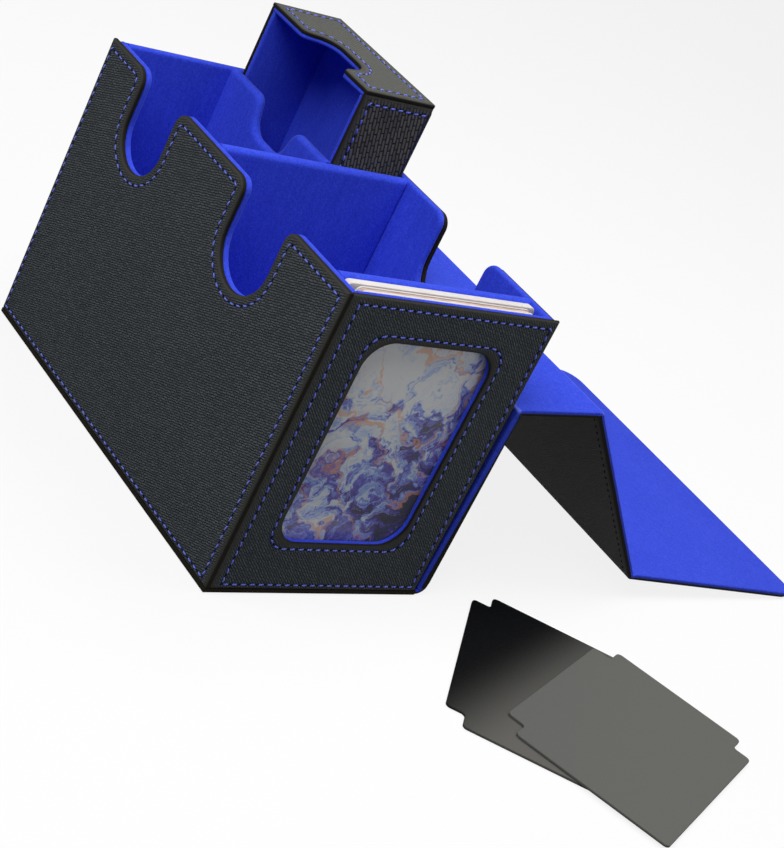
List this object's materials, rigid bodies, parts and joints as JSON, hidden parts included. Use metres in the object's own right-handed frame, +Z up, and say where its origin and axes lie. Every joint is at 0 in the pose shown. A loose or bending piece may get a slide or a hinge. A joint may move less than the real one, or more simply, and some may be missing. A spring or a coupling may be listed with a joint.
{
  "type": "card storage box",
  "caption": "Leather-faced card box with velvet-lined rooms, a display window, a lift-out tray, loose dividers and a folding wrap cover.",
  "frame": {"origin": "centre of the underside of the box itself, on the plane it stands on", "axes": "+Z up, -Y out of the display window, +X towards the side that the wrap cover is joined to"},
  "size_m": [0.2967, 0.286, 0.139],
  "materials": {
    "black_leather": "satin",
    "blue_velvet": "matte",
    "greyboard": "matte",
    "clear_film": "gloss",
    "magnet": "satin",
    "printed_card": "gloss",
    "white_card": "matte",
    "smoked_plastic": "gloss"
  },
  "bodies": {
    "box": {"left_panel": "black_leather", "left_board": "greyboard", "left_lining": "blue_velvet", "left_magnet_front": "magnet", "left_magnet_rear": "magnet", "right_panel": "black_leather", "right_board": "greyboard", "right_lining": "blue_velvet", "front_panel": "black_leather", "front_board": "greyboard", "front_lining": "blue_velvet", "rear_panel": "black_leather", "rear_board": "greyboard", "rear_lining": "blue_velvet", "base_panel": "black_leather", "base_board": "greyboard", "base_lining": "blue_velvet", "window_film": "clear_film", "pocket_wall": "blue_velvet", "pocket_wall_board": "greyboard", "cross_wall": "blue_velvet", "cross_wall_board": "greyboard", "bay_divider": "blue_velvet", "bay_divider_board": "greyboard", "base_fold": "black_leather"},
    "tray": {"tray_top": "black_leather", "tray_bottom": "black_leather", "tray_front": "black_leather", "tray_rear": "black_leather", "tray_back": "black_leather", "tray_top_lining": "blue_velvet", "tray_bottom_lining": "blue_velvet", "tray_front_lining": "blue_velvet", "tray_rear_lining": "blue_velvet", "tray_back_lining": "blue_velvet"},
    "display_insert": {"display_card": "printed_card", "card_backer": "white_card"},
    "cover_lower": {"cover_lower_panel": "black_leather", "cover_lower_board": "greyboard", "cover_lower_lining": "blue_velvet", "cover_lower_fold": "black_leather"},
    "cover_upper": {"cover_upper_panel": "black_leather", "cover_upper_board": "greyboard", "cover_upper_lining": "blue_velvet", "cover_upper_fold": "black_leather"},
    "cover_top": {"cover_top_panel": "black_leather", "cover_top_board": "greyboard", "cover_top_lining": "blue_velvet", "cover_top_fold": "black_leather"},
    "cover_flap": {"cover_flap_panel": "black_leather", "cover_flap_board": "greyboard", "cover_flap_lining": "blue_velvet", "cover_flap_magnet_front": "magnet", "cover_flap_magnet_rear": "magnet"},
    "rear_divider": {"rear_divider": "smoked_plastic"},
    "front_divider": {"front_divider": "smoked_plastic"}
  },
  "joints": [
    {"name": "base_fold_hinge", "type": "hinge", "parent": "box", "child": "cover_lower", "pos_m": [0.0464, 0, 0.0012], "axis": [0, -1, 0], "range_deg": [-88.3, 1.7]},
    {"name": "lower_fold_hinge", "type": "hinge", "parent": "cover_lower", "child": "cover_upper", "pos_m": [0.04862, 0, 0.07587], "axis": [0, -1, 0], "range_deg": [-4.9, 85.1]},
    {"name": "upper_fold_hinge", "type": "hinge", "parent": "cover_upper", "child": "cover_top", "pos_m": [0.08606, 0, 0.07796], "axis": [0, -1, 0], "range_deg": [-39.2, 140.8]},
    {"name": "flap_fold_hinge", "type": "hinge", "parent": "cover_top", "child": "cover_flap", "pos_m": [0.14863, 0, 0.00943], "axis": [0, -1, 0], "range_deg": [-43.07, 46.93]},
    {"name": "tray_slide", "type": "slide", "parent": "box", "child": "tray", "axis": [0, 0, -1], "range_m": [-0.07, 0.0286]},
    {"name": "insert_slide", "type": "slide", "parent": "box", "child": "display_insert", "axis": [0, 0, -1], "range_m": [-0.09, 0]},
    {"name": "rear_divider_lift", "type": "slide", "parent": "box", "child": "rear_divider", "axis": [0, 0, -1], "range_m": [-0.03, 0]},
    {"name": "front_divider_lift", "type": "slide", "parent": "rear_divider", "child": "front_divider", "axis": [0, 0, -1], "range_m": [-0.03, 0]}
  ]
}
